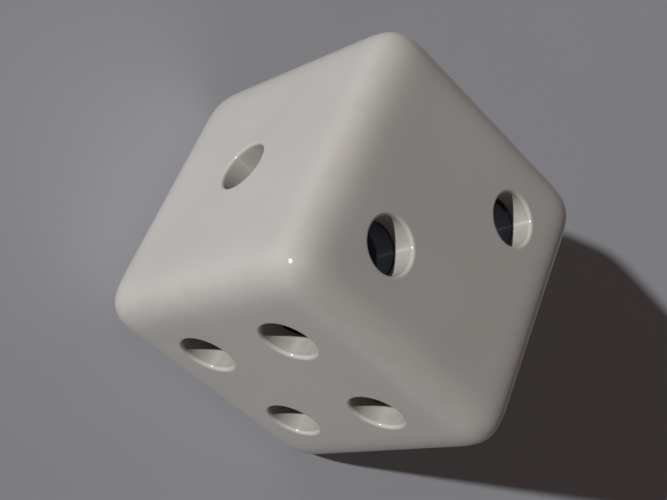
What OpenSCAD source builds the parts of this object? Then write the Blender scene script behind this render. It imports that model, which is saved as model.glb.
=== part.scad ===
// A six-sided die with rounded edges, deep round pip sockets and an enamel inlay in each socket.
// The origin is the middle of the cube. The one faces -Y, the two +Z, the three -X, the four +X,
// the five -Z and the six +Y, so opposite faces add up to seven.

/* [Die] */
// Length of every side of the cube, face to face
die_size = 19; // [18:0.5:25]
// Radius of the rounded edges and corners
edge_r = 2.1; // [0.5:0.1:2.5]

/* [Pips] */
// Distance of an outer pip from the middle of its face, along both sides of the face
pip_offset = 3.85; // [3.4:0.05:4.2]
// Spacing of the three pips in a row of the six
six_pitch = 4.4; // [4.3:0.1:4.5]
// Radius of the straight wall of a socket
pip_r = 1.7; // [1.2:0.05:1.8]
// Radius of the rounded lip at the mouth of a socket
lip_r = 0.2; // [0.05:0.05:0.3]
// Depth of a socket, from the face to its flat floor
socket_depth = 2.4; // [2.2:0.1:3]

/* [Inlays] */
// Depth of the rim of the enamel below the face
rim_drop = 1.5; // [0.4:0.1:1.6]
// Depth of the dish that the enamel dries into, below its rim
dish_depth = 0.2; // [0.1:0.05:0.4]
// Width of the flat rim around the dish
rim_width = 0.1; // [0.05:0.05:0.3]

/* [Hidden] */
$fn = 64;
// How far a cutter runs past the surface that it opens
past = 1;
half = die_size / 2;
// Half the distance between the centres of the rounded corners
core = half - edge_r;
dish_mouth_r = pip_r - rim_width;
// Radius of the ball whose cap is the dish
dish_ball_r = (pow(dish_mouth_r, 2) + pow(dish_depth, 2)) / (2 * dish_depth);

FACE_NAMES = ["one", "two", "three", "four", "five", "six"];
// Turns that bring the top face round to each numbered face
FACE_TURNS = [[90, 0, 0], [0, 0, 0], [90, 0, -90], [90, 0, 90], [180, 0, 0], [90, 0, 180]];

MIDDLE = [[0, 0]];
DIAGONAL = [[-pip_offset, pip_offset], [pip_offset, -pip_offset]];
CORNERS = [for (x = [-1, 1], y = [-1, 1]) [x * pip_offset, y * pip_offset]];
ROWS = [for (x = [-1, 1], y = [-1 : 1]) [x * pip_offset, y * six_pitch]];
// Pip centres of each face, as seen from outside the face
PIPS = [MIDDLE, DIAGONAL, concat(MIDDLE, DIAGONAL), CORNERS, concat(MIDDLE, CORNERS), ROWS];

function inlay_name(face, i) = str(FACE_NAMES[face], "_pip_", i + 1);

// Puts a pip's feature on its face: the face is at height 0 and the outside is +Z
module at_pip(face, i) {
    rotate(FACE_TURNS[face]) translate([PIPS[face][i].x, PIPS[face][i].y, half]) children();
}

// The cube with every edge and corner rounded to the same radius
module rounded_cube() {
    for (turn = [[0, 0, 0], [90, 0, 0], [0, 90, 0]])
        rotate(turn) {
            cube([2 * core, 2 * core, die_size], center = true);
            for (x = [-core, core], y = [-core, core])
                translate([x, y, 0]) cylinder(h = 2 * core, r = edge_r, center = true);
        }
    for (x = [-core, core], y = [-core, core], z = [-core, core])
        translate([x, y, z]) sphere(r = edge_r);
}

// What a pip's drill and its countersink take away: a straight hole with a rounded lip
module socket_cut() {
    rotate_extrude() {
        translate([0, -socket_depth]) square([pip_r, socket_depth + past]);
        difference() {
            translate([0, -lip_r]) square([pip_r + lip_r, lip_r + past]);
            translate([pip_r + lip_r, -lip_r]) circle(r = lip_r);
        }
    }
}

module die_body() {
    color("linen")
        difference() {
            rounded_cube();
            for (face = [0 : 5], i = [0 : face])
                at_pip(face, i) socket_cut();
        }
}

// A plug of enamel on the floor of a socket, with a shallow dish in its top
module pip_inlay(face, i) {
    color("#16161c")
        at_pip(face, i)
            difference() {
                translate([0, 0, -socket_depth]) cylinder(h = socket_depth - rim_drop, r = pip_r);
                translate([0, 0, dish_ball_r - dish_depth - rim_drop]) sphere(r = dish_ball_r);
            }
}

die_body();
for (face = [0 : 5], i = [0 : face])
    pip_inlay(face, i);
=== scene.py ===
import math
import random

import bmesh
import bpy
from mathutils import Matrix, Vector


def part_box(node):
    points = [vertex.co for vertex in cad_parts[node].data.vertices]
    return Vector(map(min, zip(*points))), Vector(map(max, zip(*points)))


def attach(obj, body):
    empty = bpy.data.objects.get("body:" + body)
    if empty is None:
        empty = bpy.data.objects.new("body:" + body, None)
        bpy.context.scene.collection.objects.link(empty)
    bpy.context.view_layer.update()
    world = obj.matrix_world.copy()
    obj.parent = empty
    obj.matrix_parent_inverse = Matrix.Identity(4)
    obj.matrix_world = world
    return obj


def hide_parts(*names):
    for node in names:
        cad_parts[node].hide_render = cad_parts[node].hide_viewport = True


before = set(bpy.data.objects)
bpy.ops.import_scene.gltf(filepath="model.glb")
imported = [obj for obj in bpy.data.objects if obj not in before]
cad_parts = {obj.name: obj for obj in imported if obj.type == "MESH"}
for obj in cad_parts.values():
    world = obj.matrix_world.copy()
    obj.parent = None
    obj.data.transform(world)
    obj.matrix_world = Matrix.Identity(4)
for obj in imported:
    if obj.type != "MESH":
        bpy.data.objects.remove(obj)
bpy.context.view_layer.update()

# ---------------------------------------------------------------- sizes, in metres
MM = 0.001
BODY = "die_body"
INLAYS = sorted(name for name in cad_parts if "_pip_" in name)
body_low, body_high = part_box(BODY)
CENTRE = (body_low + body_high) / 2
HALF = (body_high.x - body_low.x) / 2
EDGE_REACH = 0.45 * HALF        # how far the rounding of an edge reaches into a face
EDGE_POWER = 4.4                # 2 is a circular arc; more starts the curve more gently
CORE = HALF - EDGE_REACH        # where the rounded edges begin, from the middle of the die
LIP = 0.2 * MM                  # radius of the rounded lip of a socket


# ---------------------------------------------------------------- node helpers
def new_material(name):
    """A node material and its Principled shader."""
    material = bpy.data.materials.new(name)
    material.use_nodes = True
    return material, material.node_tree, material.node_tree.nodes["Principled BSDF"]


def set_sockets(shader, **values):
    """Sets the shader's own sockets, which are named in words with underscores."""
    for name, value in values.items():
        shader.inputs[name.replace("_", " ")].default_value = value


def math_node(tree, operation, first, second=0.0, third=0.0):
    """A Math node: its inputs are sockets or numbers."""
    node = tree.nodes.new("ShaderNodeMath")
    node.operation = operation
    for socket, value in zip(node.inputs, (first, second, third)):
        if isinstance(value, bpy.types.NodeSocket):
            tree.links.new(value, socket)
        else:
            socket.default_value = value
    return node.outputs[0]


def ramp(tree, value, band, out=(0.0, 1.0)):
    """A smooth step, from the first number in out to the second, as a value crosses a band."""
    node = tree.nodes.new("ShaderNodeMapRange")
    node.interpolation_type = "SMOOTHSTEP"
    tree.links.new(value, node.inputs["Value"])
    node.inputs["From Min"].default_value = band[0]
    node.inputs["From Max"].default_value = band[1]
    node.inputs["To Min"].default_value = out[0]
    node.inputs["To Max"].default_value = out[1]
    return node.outputs["Result"]


def place(tree, scale=(1, 1, 1), turn=(0, 0, 0)):
    """The piece's own coordinates, turned and stretched."""
    coordinates = tree.nodes.new("ShaderNodeTexCoord")
    mapping = tree.nodes.new("ShaderNodeMapping")
    mapping.inputs["Rotation"].default_value = [math.radians(angle) for angle in turn]
    mapping.inputs["Scale"].default_value = scale
    tree.links.new(coordinates.outputs["Object"], mapping.inputs["Vector"])
    return mapping.outputs["Vector"]


def noise(tree, feature, detail=3.0, roughness=0.5, vector=None):
    """Noise whose features are about that many metres across."""
    node = tree.nodes.new("ShaderNodeTexNoise")
    node.inputs["Scale"].default_value = 1 / feature
    node.inputs["Detail"].default_value = detail
    node.inputs["Roughness"].default_value = roughness
    tree.links.new(vector or place(tree), node.inputs["Vector"])
    return node.outputs["Fac"]


def mix_colours(tree, factor, first, second):
    """A colour between two, which are sockets or RGB triples."""
    node = tree.nodes.new("ShaderNodeMix")
    node.data_type = "RGBA"
    tree.links.new(factor, node.inputs["Factor"])
    colour_sockets = [socket for socket in node.inputs if socket.type == "RGBA"]
    for socket, value in zip(colour_sockets, (first, second)):
        if isinstance(value, bpy.types.NodeSocket):
            tree.links.new(value, socket)
        else:
            socket.default_value = (*value, 1)
    return [socket for socket in node.outputs if socket.type == "RGBA"][0]


def bump(tree, height, distance, strength=1.0, below=None):
    """A Bump node over another one's normal: distance is the height in metres that 1 stands for."""
    node = tree.nodes.new("ShaderNodeBump")
    node.inputs["Distance"].default_value = distance
    node.inputs["Strength"].default_value = strength
    tree.links.new(height, node.inputs["Height"])
    if below is not None:
        tree.links.new(below, node.inputs["Normal"])
    return node.outputs["Normal"]


# ---------------------------------------------------------------- materials
# Colours that vary have a pair: the darkest and the lightest
IVORY = ((0.535, 0.515, 0.485), (0.560, 0.540, 0.510))
# Handling wear darkens the edges, and the darker edge colour is also painted shade that tones down the lit
# rounded edges
HANDLED_AND_SHADED_IVORY = (0.505, 0.480, 0.440)
SPECK = (0.42, 0.38, 0.33)
# Socket walls are darker than the body plastic as painted shade, and darker still on the sides drilled more
# coarsely
SHADED_WALL = ((0.465, 0.442, 0.397), (0.502, 0.481, 0.439))
DEEPER_SHADED_WALL = ((0.383, 0.364, 0.327), (0.413, 0.396, 0.361))
# The blue-black pip colour and blue-tinted shine are pip paint, and also painted shade deep in the sockets
ENAMEL_AND_SHADE = ((0.003, 0.004, 0.009), (0.006, 0.008, 0.018))
ENAMEL_SHINE_AND_SHADE = (0.65, 0.75, 1.0, 1)
DUST = (0.05, 0.05, 0.055)
FLOOR_PAINT = ((0.470, 0.485, 0.520), (0.490, 0.505, 0.540))

# Bands of a noise's values, which lie around 0.5
SOFT_BAND = (0.3, 0.7)          # nearly all of them, for a gradual change
PATCH_BAND = (0.35, 0.65)       # most of them, for patches
HAIRLINE_BAND = (0.66, 0.70)    # the high ones alone, for lines and specks
SPECK_BAND = (0.72, 0.78)
DUST_BAND = (0.74, 0.80)

PLASTIC_IOR = 1.5
POLISH_ROUGHNESS = (0.07, 0.13)
HANDLING_ROUGHENS = 0.05        # what full handling adds to the roughness
HAIRLINES_ROUGHEN = 0.08
WALL_ROUGHNESS = (0.28, 0.33)
COARSENESS_ROUGHENS = 0.5       # what the coarsest drilling adds
ENAMEL_IOR = 1.52
ENAMEL_ROUGHNESS = (0.04, 0.10)
FLOOR_ROUGHNESS = 0.85
RELIEF = 0.004 * MM             # height of the waves, pits and ripples in plastic and enamel
HAIRLINE_DEPTH = 0.0005 * MM
HAIRLINE_STRETCH = (1, 0.04, 1) # draws the noise out to 25 times its width
HANDLED_AND_SHADED_BAND = (HALF - 1.6 * MM, HALF - 0.6 * MM)   # edge_distance() where handling wear and painted edge shade start, and are full
TURNING_MAP = "down_and_round"  # UV map: distance down a socket's wall, and round it
COARSENESS_AND_SHADE = "coarseness_and_shade"       # how coarsely a side's sockets are drilled, from 0 to 1; it also sets how much painted shade darkens their walls


def edge_distance(tree):
    """The middle one of a point's distances from the die's centre along X, Y and Z. An edge has the most."""
    coordinates = tree.nodes.new("ShaderNodeTexCoord")
    split = tree.nodes.new("ShaderNodeSeparateXYZ")
    tree.links.new(coordinates.outputs["Object"], split.inputs[0])
    x, y, z = [
        math_node(tree, "ABSOLUTE", math_node(tree, "SUBTRACT", socket, centre))
        for socket, centre in zip(split.outputs, CENTRE)
    ]
    largest = math_node(tree, "MAXIMUM", math_node(tree, "MAXIMUM", x, y), z)
    smallest = math_node(tree, "MINIMUM", math_node(tree, "MINIMUM", x, y), z)
    total = math_node(tree, "ADD", math_node(tree, "ADD", x, y), z)
    return math_node(tree, "SUBTRACT", math_node(tree, "SUBTRACT", total, largest), smallest)


def scratches(tree, turn, feature):
    """Long hairline scratches in one direction, as thin bright lines on black."""
    stretched = place(tree, scale=HAIRLINE_STRETCH, turn=turn)
    lines = noise(tree, feature, detail=2.0, vector=stretched)
    return ramp(tree, lines, HAIRLINE_BAND)


def body_plastic():
    """Polished off-white plastic: faint clouding, hairline scratches, and edges dulled by handling and
    darkened, partly as painted shade.
    """
    material, tree, shader = new_material("polished_plastic")
    clouds = noise(tree, feature=7 * MM, detail=4.0)
    colour = mix_colours(tree, ramp(tree, clouds, SOFT_BAND), *IVORY)
    specks = noise(tree, feature=0.5 * MM, detail=1.0)
    colour = mix_colours(tree, ramp(tree, specks, SPECK_BAND, out=(0.0, 0.25)), colour, SPECK)
    # Darker edges: handling wear, and painted shade over the rounded edges
    on_edge = ramp(tree, edge_distance(tree), HANDLED_AND_SHADED_BAND)
    patches = noise(tree, feature=1.2 * MM, detail=5.0)
    handled_and_shaded = math_node(tree, "MULTIPLY", on_edge, ramp(tree, patches, PATCH_BAND, out=(0.5, 1.0)))
    colour = mix_colours(tree, handled_and_shaded, colour, HANDLED_AND_SHADED_IVORY)
    tree.links.new(colour, shader.inputs["Base Color"])

    hairlines = math_node(
        tree, "MAXIMUM",
        scratches(tree, turn=(20, 35, 10), feature=0.35 * MM),
        scratches(tree, turn=(-50, 15, 70), feature=0.45 * MM),
    )
    polish = noise(tree, feature=3 * MM, detail=5.0, roughness=0.6)
    rough = ramp(tree, polish, SOFT_BAND, out=POLISH_ROUGHNESS)
    rough = math_node(tree, "MULTIPLY_ADD", handled_and_shaded, HANDLING_ROUGHENS, rough)
    rough = math_node(tree, "MULTIPLY_ADD", hairlines, HAIRLINES_ROUGHEN, rough)
    tree.links.new(rough, shader.inputs["Roughness"])

    waves = bump(tree, noise(tree, feature=1.5 * MM, detail=2.0), RELIEF)
    normal = bump(tree, hairlines, HAIRLINE_DEPTH, strength=0.5, below=waves)
    tree.links.new(normal, shader.inputs["Normal"])
    set_sockets(shader, IOR=PLASTIC_IOR)
    return material


def socket_plastic():
    """The drilled wall of a socket: the same plastic painted darker, as shade in the socket, with fine
    turning marks that draw out its shine.

    Each side is drilled in its own pass. A coarser pass leaves a duller wall, which is painted darker still
    as deeper shade.
    """
    material, tree, shader = new_material("drilled_plastic")
    finish = tree.nodes.new("ShaderNodeAttribute")
    finish.attribute_name = COARSENESS_AND_SHADE
    coarse_and_shaded = finish.outputs["Fac"]

    blotches = ramp(tree, noise(tree, feature=0.6 * MM, detail=4.0), PATCH_BAND)
    # Painted shade: the wall is darker than the body, and darker still on the more coarsely drilled sides
    shaded_wall = mix_colours(tree, blotches, *SHADED_WALL)
    deeper_shaded_wall = mix_colours(tree, blotches, *DEEPER_SHADED_WALL)
    tree.links.new(mix_colours(tree, coarse_and_shaded, shaded_wall, deeper_shaded_wall), shader.inputs["Base Color"])

    rough = ramp(tree, noise(tree, feature=0.9 * MM, detail=3.0), SOFT_BAND, out=WALL_ROUGHNESS)
    rough = math_node(tree, "MULTIPLY_ADD", coarse_and_shaded, COARSENESS_ROUGHENS, rough)
    tree.links.new(rough, shader.inputs["Roughness"])

    pits = bump(tree, noise(tree, feature=0.25 * MM, detail=3.0), RELIEF)
    tree.links.new(pits, shader.inputs["Normal"])

    tangent = tree.nodes.new("ShaderNodeTangent")
    tangent.direction_type = "UV_MAP"
    tangent.uv_map = TURNING_MAP
    tree.links.new(tangent.outputs["Tangent"], shader.inputs["Tangent"])
    set_sockets(shader, IOR=PLASTIC_IOR, Anisotropic=1.0)
    return material


def pip_enamel():
    """Glossy blue-black enamel with a little dust in it: pip paint, and painted shade deep in the socket."""
    material, tree, shader = new_material("pip_enamel")
    tint = noise(tree, feature=1.1 * MM, detail=3.0)
    colour = mix_colours(tree, ramp(tree, tint, PATCH_BAND), *ENAMEL_AND_SHADE)
    dust = noise(tree, feature=0.12 * MM, detail=1.0)
    colour = mix_colours(tree, ramp(tree, dust, DUST_BAND, out=(0.0, 0.3)), colour, DUST)
    tree.links.new(colour, shader.inputs["Base Color"])

    rough = ramp(tree, noise(tree, feature=0.8 * MM, detail=4.0), SOFT_BAND, out=ENAMEL_ROUGHNESS)
    tree.links.new(rough, shader.inputs["Roughness"])

    ripples = bump(tree, noise(tree, feature=0.5 * MM), RELIEF)
    tree.links.new(ripples, shader.inputs["Normal"])
    set_sockets(shader, IOR=ENAMEL_IOR, Specular_Tint=ENAMEL_SHINE_AND_SHADE)
    return material


def floor_paint():
    """Plain pale matt floor."""
    material, tree, shader = new_material("pale_floor")
    shade = ramp(tree, noise(tree, feature=40 * MM, detail=4.0), SOFT_BAND)
    tree.links.new(mix_colours(tree, shade, *FLOOR_PAINT), shader.inputs["Base Color"])
    set_sockets(shader, Roughness=FLOOR_ROUGHNESS)
    return material


# ---------------------------------------------------------------- body
CELLS = 3                       # a face has that many cells each way, with one pip or none in each
CELL_STEPS = 16                 # mesh steps across a cell
MARGIN_STEPS = 22               # mesh steps from the outer cells to the side of a face
BLEND_RINGS = (0.3, 0.6, 0.85)  # mesh rings on the way from a cell's outline to the round mouth
LIP_STEPS = 7                   # mesh rings round the lip of a socket
WALL_STEPS = 6                  # mesh rings down the wall of a socket
WELD = 0.0005 * MM              # mesh points closer than this become one
COARSENESS_AND_SHADE_SEED = 738           # leaves the sockets of the one and the two fine and lightest, and those of the four rough and darkest with painted shade


def face_axes(outward):
    """The in-plane axes of a face, to its right and up as seen from outside."""
    up = Vector((0, 0, 1)) if abs(outward.z) < 0.5 else Vector((0, 1, 0))
    return up.cross(outward), up


def pips_by_face():
    """For each outward axis, the pips' centres on that face, as distances along the face's axes."""
    faces = {}
    for node in INLAYS:
        outward = facing(node)
        side, up = face_axes(outward)
        low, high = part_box(node)
        offset = (low + high) / 2 - CENTRE
        faces.setdefault(tuple(outward), []).append((offset.dot(side), offset.dot(up)))
    return faces


def socket_size():
    """The radius of a socket, and the depth of its floor below the face."""
    low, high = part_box(INLAYS[0])
    outward = facing(INLAYS[0])
    floor_height = min(abs((corner - CENTRE).dot(outward)) for corner in (low, high))
    return max(high - low) / 2, HALF - floor_height


def grid_lines(spacing):
    """Mesh lines across a face: cells of that spacing, and a margin at each side."""
    reach = CELLS / 2 * spacing
    cell_lines = CELLS * CELL_STEPS
    margin = [HALF - (HALF - reach) * step / MARGIN_STEPS for step in range(MARGIN_STEPS)]
    cells = [reach * (1 - 2 * step / cell_lines) for step in range(cell_lines + 1)]
    return [-value for value in margin] + [-value for value in cells] + margin[::-1]


def widest(distances):
    """The greatest distance from the middle of a face."""
    return max(abs(distance) for distance in distances)


def rounded(side, up):
    """The point of the rounded cube over a point of the flat face: (side, up, height)."""
    beyond_side = max(abs(side) - CORE, 0)
    beyond_up = max(abs(up) - CORE, 0)
    powers = beyond_side ** EDGE_POWER + beyond_up ** EDGE_POWER + EDGE_REACH ** EDGE_POWER
    pull = EDGE_REACH / powers ** (1 / EDGE_POWER)
    return (
        math.copysign(min(abs(side), CORE) + beyond_side * pull, side),
        math.copysign(min(abs(up), CORE) + beyond_up * pull, up),
        CORE + EDGE_REACH * pull,
    )


class FacePatch:
    """One side of the die, with its sockets, as vertices and faces in the row frame.

    spacing is the pip spacing whose mesh lines all the faces share at their sides.
    """

    def __init__(self, outward, pips, spacing):
        self.outward = Vector(outward)
        self.side, self.up = face_axes(self.outward)
        self.pips = pips
        self.shared_lines = grid_lines(spacing)
        self.side_spacing = widest(pip[0] for pip in pips) if len(pips) > 1 else spacing
        self.up_spacing = widest(pip[1] for pip in pips) if len(pips) > 1 else spacing
        self.side_lines = grid_lines(self.side_spacing)
        self.up_lines = grid_lines(self.up_spacing)
        self.known = {}
        self.vertices = []
        self.faces = []
        self.in_socket = []
        self.along = []

    def add(self, side, up, height):
        """Adds a vertex, and returns its number."""
        self.vertices.append(CENTRE + self.side * side + self.up * up + self.outward * height)
        return len(self.vertices) - 1

    def margin_share(self, index):
        """0 over the cells, rising to 1 at the side of the face."""
        last = len(self.side_lines) - 1
        return max(0, 1 - min(index, last - index) / MARGIN_STEPS)

    def flat_place(self, i, j):
        """Where two mesh lines cross. Every face has the same lines at its sides, so that faces meet."""
        side = self.side_lines[i] + (self.shared_lines[i] - self.side_lines[i]) * self.margin_share(j)
        up = self.up_lines[j] + (self.shared_lines[j] - self.up_lines[j]) * self.margin_share(i)
        return side, up

    def crossing(self, i, j):
        """The number of the vertex where two mesh lines cross, which is made once."""
        if (i, j) not in self.known:
            self.known[i, j] = self.add(*rounded(*self.flat_place(i, j)))
        return self.known[i, j]

    def add_face(self, corners, socket=False, along=None):
        """Adds a face. along gives each corner's distance down a socket and round it."""
        self.faces.append(corners)
        self.in_socket.append(socket)
        self.along += along or [(0, 0)] * len(corners)

    def ring_faces(self, outer, inner, socket=False, ring=0):
        """Adds the faces between two rings of vertices."""
        for step in range(len(outer)):
            after = (step + 1) % len(outer)
            along = [(ring, step), (ring, step + 1), (ring + 1, step + 1), (ring + 1, step)]
            self.add_face((outer[step], outer[after], inner[after], inner[step]), socket, along)

    def socket_rings(self, radius, floor_depth):
        """Each ring of a socket, from its mouth to its floor: its radius, its depth, and if it is drilled."""
        for step in range(1, LIP_STEPS + 1):
            turn = math.pi / 2 * step / LIP_STEPS
            yield radius + LIP * (1 - math.sin(turn)), LIP * (1 - math.cos(turn)), False
        for step in range(1, WALL_STEPS + 1):
            yield radius, LIP + (floor_depth - LIP) * step / WALL_STEPS, True
        yield radius / 2, floor_depth, True

    def pip_cell(self, i, j, pip, radius, floor_depth):
        """The cell whose first lines are i and j: its flat part, and the socket drilled into it."""
        steps = range(CELL_STEPS)
        i_end = i + CELL_STEPS
        j_end = j + CELL_STEPS
        outline = (
            [(i + step, j) for step in steps]
            + [(i_end, j + step) for step in steps]
            + [(i_end - step, j_end) for step in steps]
            + [(i, j_end - step) for step in steps]
        )
        angles = [math.radians(-135 + 90 * step / CELL_STEPS) for step in range(len(outline))]
        spokes = [(math.cos(angle), math.sin(angle)) for angle in angles]
        mouth = radius + LIP
        ring = [self.crossing(*crossing) for crossing in outline]
        for share in (*BLEND_RINGS, 1):
            inner = []
            for crossing, (cosine, sine) in zip(outline, spokes):
                side, up = self.flat_place(*crossing)
                towards_side = side + (pip[0] + mouth * cosine - side) * share
                towards_up = up + (pip[1] + mouth * sine - up) * share
                inner.append(self.add(*rounded(towards_side, towards_up)))
            self.ring_faces(ring, inner)
            ring = inner
        for step, (reach, depth, drilled) in enumerate(self.socket_rings(radius, floor_depth)):
            inner = [
                self.add(pip[0] + reach * cosine, pip[1] + reach * sine, HALF - depth)
                for cosine, sine in spokes
            ]
            self.ring_faces(ring, inner, drilled, step)
            ring = inner
        centre = self.add(*pip, HALF - floor_depth)
        for vertex, after in zip(ring, ring[1:] + ring[:1]):
            self.add_face((vertex, after, centre), socket=True)

    def build(self, radius, floor_depth):
        """Makes the cells that hold a pip, and then the plain part of the face around them."""
        first = MARGIN_STEPS
        holes = {}
        for pip in self.pips:
            column = round(pip[0] / self.side_spacing) + CELLS // 2
            row = round(pip[1] / self.up_spacing) + CELLS // 2
            holes[column, row] = pip
        for (column, row), pip in holes.items():
            self.pip_cell(first + column * CELL_STEPS, first + row * CELL_STEPS, pip, radius, floor_depth)
        count = len(self.side_lines) - 1
        for i in range(count):
            for j in range(count):
                cell = ((i - first) // CELL_STEPS, (j - first) // CELL_STEPS)
                if cell not in holes:
                    corners = [(i, j), (i + 1, j), (i + 1, j + 1), (i, j + 1)]
                    self.add_face(tuple(self.crossing(*corner) for corner in corners))


def body_mesh():
    """The die's body: six sides with rounded edges and drilled sockets, welded into one closed skin."""
    radius, floor_depth = socket_size()
    by_face = pips_by_face()
    spacing = min(max(pip[0] for pip in pips) for pips in by_face.values() if len(pips) > 1)
    random_numbers = random.Random(COARSENESS_AND_SHADE_SEED)
    vertices = []
    faces = []
    in_socket = []
    along = []
    coarseness_and_shade = []
    for outward, pips in sorted(by_face.items()):
        patch = FacePatch(outward, pips, spacing)
        patch.build(radius, floor_depth)
        start = len(vertices)
        vertices += patch.vertices
        faces += [tuple(start + index for index in corners) for corners in patch.faces]
        in_socket += patch.in_socket
        along += patch.along
        # Each side's value also sets how much painted shade darkens its socket walls
        coarseness_and_shade += [random_numbers.random()] * len(patch.faces)
    data = bpy.data.meshes.new("die_body_skin")
    data.from_pydata(vertices, [], faces)
    data.polygons.foreach_set("material_index", [int(socket) for socket in in_socket])
    layer = data.uv_layers.new(name=TURNING_MAP)
    layer.data.foreach_set("uv", [value for pair in along for value in pair])
    data.attributes.new(COARSENESS_AND_SHADE, "FLOAT", "FACE").data.foreach_set("value", coarseness_and_shade)
    mesh = bmesh.new()
    mesh.from_mesh(data)
    bmesh.ops.remove_doubles(mesh, verts=mesh.verts, dist=WELD)
    bmesh.ops.recalc_face_normals(mesh, faces=mesh.faces)
    mesh.to_mesh(data)
    mesh.free()
    data.polygons.foreach_set("use_smooth", [True] * len(data.polygons))
    return data


# ---------------------------------------------------------------- pieces
DISH = 0.2 * MM                 # depth of the dish in the enamel
DISH_VARIES = (0.85, 1.15)      # least and most, from inlay to inlay
CLIMB = 0.03 * MM               # how far the enamel climbs the wall
CLIMB_VARIES = (0.7, 1.3)
CLIMB_POWER = 24                # the higher, the closer to the wall the climb starts
LEAN = 0.008                    # greatest slope of the enamel each way
INLAY_SEGMENTS = 72
INLAY_RINGS = 20
INLAY_SEED = 21


def facing(node):
    """The outward axis of the face that an inlay lies in, as a unit vector."""
    low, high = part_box(node)
    size = high - low
    axis = min(range(3), key=lambda i: size[i])
    outward = Vector((0, 0, 0))
    outward[axis] = math.copysign(1, ((low + high) / 2 - CENTRE)[axis])
    return outward


def meniscus(share, dish, climb):
    """Height of the enamel over its rim at a share of the radius: a shallow dish that climbs the wall."""
    return -dish * (1 - share ** 2) + climb * share ** CLIMB_POWER


def inlay_mesh(node, random_numbers):
    """The plug of enamel in a socket: a revolved solid whose top is a dished, slightly uneven meniscus."""
    low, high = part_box(node)
    outward = facing(node)
    turn = Vector((0, 0, 1)).rotation_difference(outward)
    size = high - low
    depth = min(size)
    radius = max(size) / 2
    middle = (low + high) / 2
    dish = DISH * random_numbers.uniform(*DISH_VARIES)
    climb = CLIMB * random_numbers.uniform(*CLIMB_VARIES)
    lean = Vector((random_numbers.uniform(-1, 1), random_numbers.uniform(-1, 1))) * LEAN
    mesh = bmesh.new()

    def flat_point(share, step):
        """A place in the plane of the inlay, at a share of its radius."""
        angle = 2 * math.pi * step / INLAY_SEGMENTS
        return Vector((math.cos(angle), math.sin(angle))) * share * radius

    def vertex(flat, height):
        """A vertex over a place in that plane."""
        return mesh.verts.new(middle + turn @ Vector((flat.x, flat.y, height)))

    def top_vertex(share, step):
        """A vertex of the enamel's surface."""
        flat = flat_point(share, step)
        return vertex(flat, depth / 2 + meniscus(share, dish, climb) + lean.dot(flat))

    steps = range(INLAY_SEGMENTS)
    shares = [math.sin(math.pi / 2 * ring / INLAY_RINGS) for ring in range(1, INLAY_RINGS + 1)]
    top = [[top_vertex(share, step) for step in steps] for share in shares]
    bottom = [vertex(flat_point(1, step), -depth / 2) for step in steps]
    lowest = top_vertex(0, 0)
    for step in steps:
        after = (step + 1) % INLAY_SEGMENTS
        mesh.faces.new((lowest, top[0][step], top[0][after]))
        for inner, outer in zip(top, top[1:]):
            mesh.faces.new((inner[step], outer[step], outer[after], inner[after]))
        mesh.faces.new((top[-1][step], bottom[step], bottom[after], top[-1][after]))
    mesh.faces.new(list(reversed(bottom)))
    bmesh.ops.recalc_face_normals(mesh, faces=mesh.faces)
    data = bpy.data.meshes.new(node + "_enamel")
    mesh.to_mesh(data)
    mesh.free()
    for face in data.polygons:
        face.use_smooth = len(face.vertices) < INLAY_SEGMENTS
    return data


def make_inlays(material):
    """One enamel plug for each pip, over the CAD node of the same pip: dark pip paint, which is also painted
    shade in the socket.
    """
    random_numbers = random.Random(INLAY_SEED)
    for node in INLAYS:
        piece = bpy.data.objects.new(node + "_enamel", inlay_mesh(node, random_numbers))
        bpy.context.scene.collection.objects.link(piece)
        piece.data.materials.append(material)
        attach(piece, "root")
        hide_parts(node)


def make_body(polished, drilled):
    """The body's skin, over the CAD body: polished outside, drilled in the sockets."""
    piece = bpy.data.objects.new("die_body_skin", body_mesh())
    bpy.context.scene.collection.objects.link(piece)
    for material in (polished, drilled):
        piece.data.materials.append(material)
    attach(piece, "root")
    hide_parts(BODY)


# ---------------------------------------------------------------- stage
SENSOR_WIDTH = 36               # mm, which the lens's focal length goes with
FLOOR_HALF = 2.0                # metres from the origin to each side of the floor
FLOOR_GAP = 0.01 * MM           # keeps the floor and the die's lowest face out of one plane


def make_floor(material):
    """The plain floor that the die rests on."""
    height = body_low.z - FLOOR_GAP
    corners = [
        (x * FLOOR_HALF, y * FLOOR_HALF, height)
        for x, y in ((-1, -1), (1, -1), (1, 1), (-1, 1))
    ]
    data = bpy.data.meshes.new("floor")
    data.from_pydata(corners, [], [(0, 1, 2, 3)])
    floor = bpy.data.objects.new("floor", data)
    floor.data.materials.append(material)
    bpy.context.scene.collection.objects.link(floor)


def direction(azimuth, elevation):
    """Unit vector towards an azimuth round the die, 0 in front and 90 at its right, and an elevation."""
    around = math.radians(azimuth)
    above = math.radians(elevation)
    level = Vector((math.sin(around), -math.cos(around), 0))
    return level * math.cos(above) + Vector((0, 0, math.sin(above)))


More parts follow.
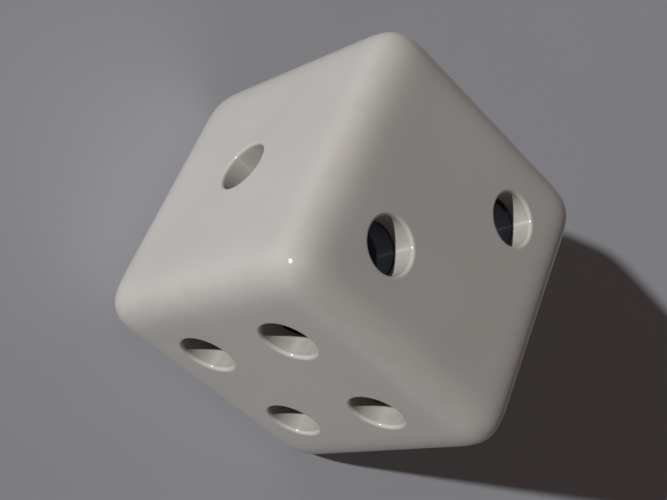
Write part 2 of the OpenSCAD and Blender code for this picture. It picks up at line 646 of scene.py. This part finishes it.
def make_camera(azimuth, elevation, roll, distance, lens, aside, above):
    """A camera that looks at a point beside the die's centre, turned about its own view axis by roll."""
    back = direction(azimuth, elevation)
    level_right = Vector((0, 0, 1)).cross(back).normalized()
    level_up = back.cross(level_right)
    turn = math.radians(roll)
    right = level_right * math.cos(turn) + level_up * math.sin(turn)
    up = back.cross(right)
    data = bpy.data.cameras.new("camera")
    data.sensor_width = SENSOR_WIDTH
    data.lens = lens
    data.clip_start = distance / 100
    data.clip_end = distance * 100
    camera = bpy.data.objects.new("camera", data)
    camera.rotation_mode = "QUATERNION"
    camera.rotation_quaternion = Matrix((right, up, back)).transposed().to_quaternion()
    camera.location = CENTRE + back * distance + right * aside + up * above
    bpy.context.scene.collection.objects.link(camera)
    bpy.context.scene.camera = camera


def make_sun(name, azimuth, elevation, strength, width, colour, glints=True):
    """A distant lamp that fills an angle of width degrees. Gloss shows it only where glints is True."""
    data = bpy.data.lights.new(name, "SUN")
    data.energy = strength
    data.angle = math.radians(width)
    data.color = colour
    lamp = bpy.data.objects.new(name, data)
    lamp.rotation_mode = "QUATERNION"
    lamp.rotation_quaternion = direction(azimuth, elevation).to_track_quat("Z", "Y")
    lamp.visible_glossy = glints
    bpy.context.scene.collection.objects.link(lamp)


def make_world(light, backdrop):
    """Even, dim light from all round, and the plain backdrop that shows past the floor's far edge."""
    world = bpy.data.worlds.new("studio")
    world.use_nodes = True
    tree = world.node_tree
    seen = tree.nodes.new("ShaderNodeLightPath").outputs["Is Camera Ray"]
    colour = mix_colours(tree, seen, light, backdrop)
    tree.links.new(colour, tree.nodes["Background"].inputs["Color"])
    bpy.context.scene.world = world


make_camera(azimuth=46.3, elevation=47.0, roll=76.4, distance=7.99 * HALF, lens=64.2,
            aside=-0.082 * HALF, above=0.048 * HALF)
make_sun("key_light", azimuth=23, elevation=21.6, strength=2.83, width=1.6, colour=(1.0, 1.0, 1.01))
make_sun("back_light", azimuth=228, elevation=4, strength=0.35, width=30, colour=(1.0, 0.96, 0.92),
         glints=False)
make_world(light=(0.064, 0.049, 0.045), backdrop=(0.25, 0.25, 0.26))
bpy.context.scene.view_settings.view_transform = "Standard"

make_body(body_plastic(), socket_plastic())
make_inlays(pip_enamel())
make_floor(floor_paint())
